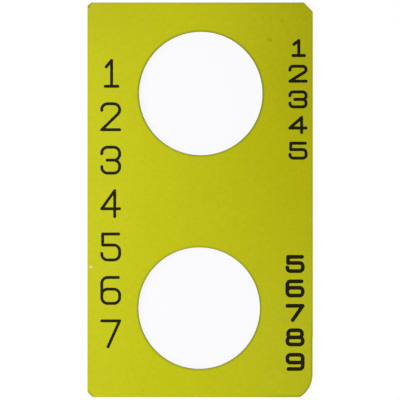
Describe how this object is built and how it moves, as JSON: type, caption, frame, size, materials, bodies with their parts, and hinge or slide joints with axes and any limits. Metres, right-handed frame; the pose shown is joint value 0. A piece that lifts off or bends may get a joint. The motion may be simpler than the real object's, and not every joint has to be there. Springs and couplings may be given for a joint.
{
  "type": "push-button legend plate",
  "caption": "Flat engraved legend plate for a pair of push-buttons, cut from three-ply laminate with a black core, with trimmed corners and columns of numerals.",
  "frame": {"origin": "on the plate's back face, under the middle of its outline", "axes": "+Z out of the engraved face, +Y towards the top of the plate as it is read, +X to the right as it is read"},
  "size_m": [0.0572, 0.1, 0.0016],
  "materials": {
    "face_laminate": "olive yellow engraving laminate, fine satin texture",
    "core_laminate": "black laminate core, matt where it is cut",
    "back_laminate": "olive yellow laminate, plain matt back"
  },
  "bodies": {
    "root": {"face_ply": "face_laminate", "core_ply": "core_laminate", "back_ply": "back_laminate"}
  },
  "joints": []
}
